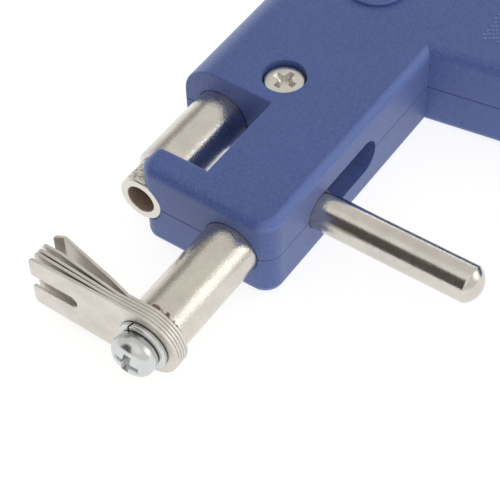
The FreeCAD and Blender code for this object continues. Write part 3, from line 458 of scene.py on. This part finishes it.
def eased(node, width):
    """A stamped leaf with its cut edges broken, made from the CAD node's own shape."""
    shape = bmesh.new()
    shape.from_mesh(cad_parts[node].data)
    bmesh.ops.remove_doubles(shape, verts=shape.verts, dist=1e-6)
    flat = math.radians(0.4)
    bmesh.ops.dissolve_limit(shape, angle_limit=flat, verts=shape.verts, edges=shape.edges)
    sharp = [e for e in shape.edges if len(e.link_faces) == 2 and e.calc_face_angle() > 1.0]
    bmesh.ops.bevel(shape, geom=sharp, offset=width * MM, segments=2, profile=0.5,
                    affect="EDGES", clamp_overlap=True)
    shown(f"{node}_stamped", shape, "carriage", LEAF, [node], 25.0)


def coil(node, turns):
    """A compression spring of round wire, wound at an even pitch along x."""
    low, high = (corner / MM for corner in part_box(node))
    wire, sides, steps = 0.425, 10, 40
    middle = (low + high) / 2
    radius = (high.y - low.y) / 2 - wire
    length = high.x - low.x - 2 * wire
    shape = bmesh.new()
    rings = []
    for step in range(turns * steps + 1):
        angle = 2 * math.pi * step / steps
        out = Vector((0.0, math.cos(angle), math.sin(angle)))
        axis = Vector((low.x + wire + length * step / (turns * steps), middle.y, middle.z))
        centre = axis + radius * out
        ring = []
        for side in range(sides):
            turned = 2 * math.pi * side / sides
            away = math.cos(turned) * out + math.sin(turned) * Vector((1, 0, 0))
            ring.append(shape.verts.new((centre + wire * away) * MM))
        rings.append(ring)
    for first, second in zip(rings, rings[1:]):
        for side in range(sides):
            after = (side + 1) % sides
            shape.faces.new((first[side], first[after], second[after], second[side]))
    shape.faces.new(rings[0])
    shape.faces.new(rings[-1])
    piece = shown(f"{node}_coil", shape, "body", WIRE, [node], 50.0)
    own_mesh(piece)


# The handle's front edge: where it leaves the barrel's underside, and its lean per millimetre down.
HANDLE_TOP_X, HANDLE_TOP_Y = 42.7, -6.8
HANDLE_LEAN = 0.1602


def grip():
    """Rows of small raised chevrons moulded on the left side of the handle."""
    shape = bmesh.new()
    rise, sunk = 0.07, 0.03
    along, across = Vector((0.553, -0.833, 0.0)), Vector((0.833, 0.553, 0.0))
    pitch, row_pitch, half_long, half_high, half_bar = 0.66, 0.86, 0.20, 0.25, 0.09
    first = Vector((49.4, -12.3, 0.0))
    rows, steps = range(-18, 34), range(-34, 40)
    lowest, highest, margin, wide_patch = -27.0, -11.5, 5.75, 23.0
    for row, step in product(rows, steps):
        centre = first + row * row_pitch * across + step * pitch * along
        front = HANDLE_TOP_X + (HANDLE_TOP_Y - centre.y) * HANDLE_LEAN + margin
        if not (lowest < centre.y < highest and front < centre.x < front + wide_patch):
            continue
        flip = 1 if (step + row) % 2 else -1
        for side in (-1, 1):
            foot = centre + side * half_long * along - flip * half_high * across
            peak = centre + flip * half_high * across
            run = (peak - foot).normalized()
            wide = Vector((-run.y, run.x, 0.0)) * half_bar
            low = [foot - wide, foot + wide, peak + wide, peak - wide]
            high = [foot - 0.6 * wide, foot + 0.6 * wide, peak + 0.6 * wide, peak - 0.6 * wide]
            below = [shape.verts.new(gun(v.x, v.y, BROAD_FACE_Z - sunk)) for v in low]
            above = [shape.verts.new(gun(v.x, v.y, BROAD_FACE_Z + rise)) for v in high]
            shape.faces.new(above)
            shape.faces.new(below[::-1])
            for number in range(4):
                after = (number + 1) % 4
                shape.faces.new((below[number], below[after], above[after], above[number]))
    shown("grip_chevrons", shape, "body", GRIP_PAINTED_LIGHT, [], 20.0)


clutch_screw()
lock_washer()
case_screws()
coil("plunger_spring", 10)
coil("return_spring", 8)
grip()
for leaf in LEAVES:
    eased(leaf, BROKEN_EDGE)


# ---------------------------------------------------------------- stage, lights, camera


def stage_floor():
    mesh = bpy.data.meshes.new("studio_floor")
    shape = bmesh.new()
    bmesh.ops.create_circle(shape, cap_ends=True, segments=96, radius=3.0)
    shape.to_mesh(mesh)
    shape.free()
    floor = bpy.data.objects.new("studio_floor", mesh)
    floor.location.z = CAD_BOX[0][2]
    bpy.context.scene.collection.objects.link(floor)
    g = Graph("studio_floor")
    g.set(Base_Color=colour(0.3, 0.3, 0.3), Roughness=1.0, Specular_IOR_Level=0.0)
    g.set(Emission_Color=colour(1.0, 1.0, 1.0), Emission_Strength=0.82)
    mesh.materials.append(g.material)


def direction(azimuth, elevation):
    """Unit vector towards that part of the studio; azimuth 0 is -Y and 90 is +X."""
    a, e = math.radians(azimuth), math.radians(elevation)
    return Vector((math.sin(a) * math.cos(e), -math.cos(a) * math.cos(e), math.sin(e)))


# The studio: azimuth, elevation, where the patch is full and where it ends (degrees), radiance.
PATCHES = [
    (-70, 66, 16, 44, (1.05, 1.03, 1.0)),
    (34, 21, 7, 23, (1.75, 1.76, 1.72)),
    (112, 14, 5, 12, (1.3, 1.28, 1.22)),
    (147, 28, 7, 17, (0.34, 0.33, 0.31)),
    (-116, 2, 14, 24, (0.10, 0.085, 0.08)),
    (-116, 22, 14, 24, (0.10, 0.085, 0.08)),
    (-119, 39, 12, 22, (0.10, 0.085, 0.08)),
]
TENT = (0.80, 0.78, 0.74)


def studio_world():
    """A pale light tent with one bright soft window and a few darker gaps."""
    world = bpy.data.worlds.new("studio")
    world.use_nodes = True
    tree = world.node_tree
    background = tree.nodes["Background"]
    towards = tree.nodes.new("ShaderNodeTexCoord").outputs["Generated"]
    tone = None
    for azimuth, elevation, full, gone, radiance in PATCHES:
        dot = tree.nodes.new("ShaderNodeVectorMath")
        dot.operation = "DOT_PRODUCT"
        tree.links.new(towards, dot.inputs[0])
        dot.inputs[1].default_value = direction(azimuth, elevation)
        ramp = tree.nodes.new("ShaderNodeMapRange")
        ramp.interpolation_type = "SMOOTHSTEP"
        tree.links.new(dot.outputs["Value"], ramp.inputs["Value"])
        ramp.inputs["From Min"].default_value = math.cos(math.radians(gone))
        ramp.inputs["From Max"].default_value = math.cos(math.radians(full))
        mix = tree.nodes.new("ShaderNodeMix")
        mix.data_type = "RGBA"
        tree.links.new(ramp.outputs["Result"], mix.inputs[0])
        if tone is None:
            mix.inputs[6].default_value = colour(*TENT)
        else:
            tree.links.new(tone, mix.inputs[6])
        mix.inputs[7].default_value = colour(*radiance)
        tone = mix.outputs[2]
    seen = tree.nodes.new("ShaderNodeMix")
    seen.data_type = "RGBA"
    tree.links.new(tree.nodes.new("ShaderNodeLightPath").outputs["Is Camera Ray"], seen.inputs[0])
    tree.links.new(tone, seen.inputs[6])
    seen.inputs[7].default_value = colour(0.95, 0.95, 0.95)
    tree.links.new(seen.outputs[2], background.inputs["Color"])
    background.inputs["Strength"].default_value = 1.0
    bpy.context.scene.world = world


# The photograph's camera: direction and roll in degrees, distance and lens in millimetres.
AZIMUTH, ELEVATION, ROLL = -53.244, 50.412, -2.528
DISTANCE, LENS, SENSOR = 231.784, 118.12, 36.0
AIM = (1.069, -2.604)


def camera():
    a, roll = math.radians(AZIMUTH), math.radians(ROLL)
    back = direction(AZIMUTH, ELEVATION)
    right = Vector((math.cos(a), math.sin(a), 0.0))
    up = back.cross(right)
    across = math.cos(roll) * right + math.sin(roll) * up
    upward = -math.sin(roll) * right + math.cos(roll) * up
    place = gun(*AIM) + DISTANCE * MM * back
    data = bpy.data.cameras.new("photo_camera")
    data.lens = LENS
    data.sensor_width = SENSOR
    data.clip_start = 0.005
    item = bpy.data.objects.new("photo_camera", data)
    turned = Matrix((across, upward, back)).transposed().to_4x4()
    item.matrix_world = Matrix.Translation(place) @ turned
    bpy.context.scene.collection.objects.link(item)
    bpy.context.scene.camera = item


stage_floor()
studio_world()
camera()
bpy.context.scene.view_settings.view_transform = "Standard"
bpy.context.scene.view_settings.look = "None"
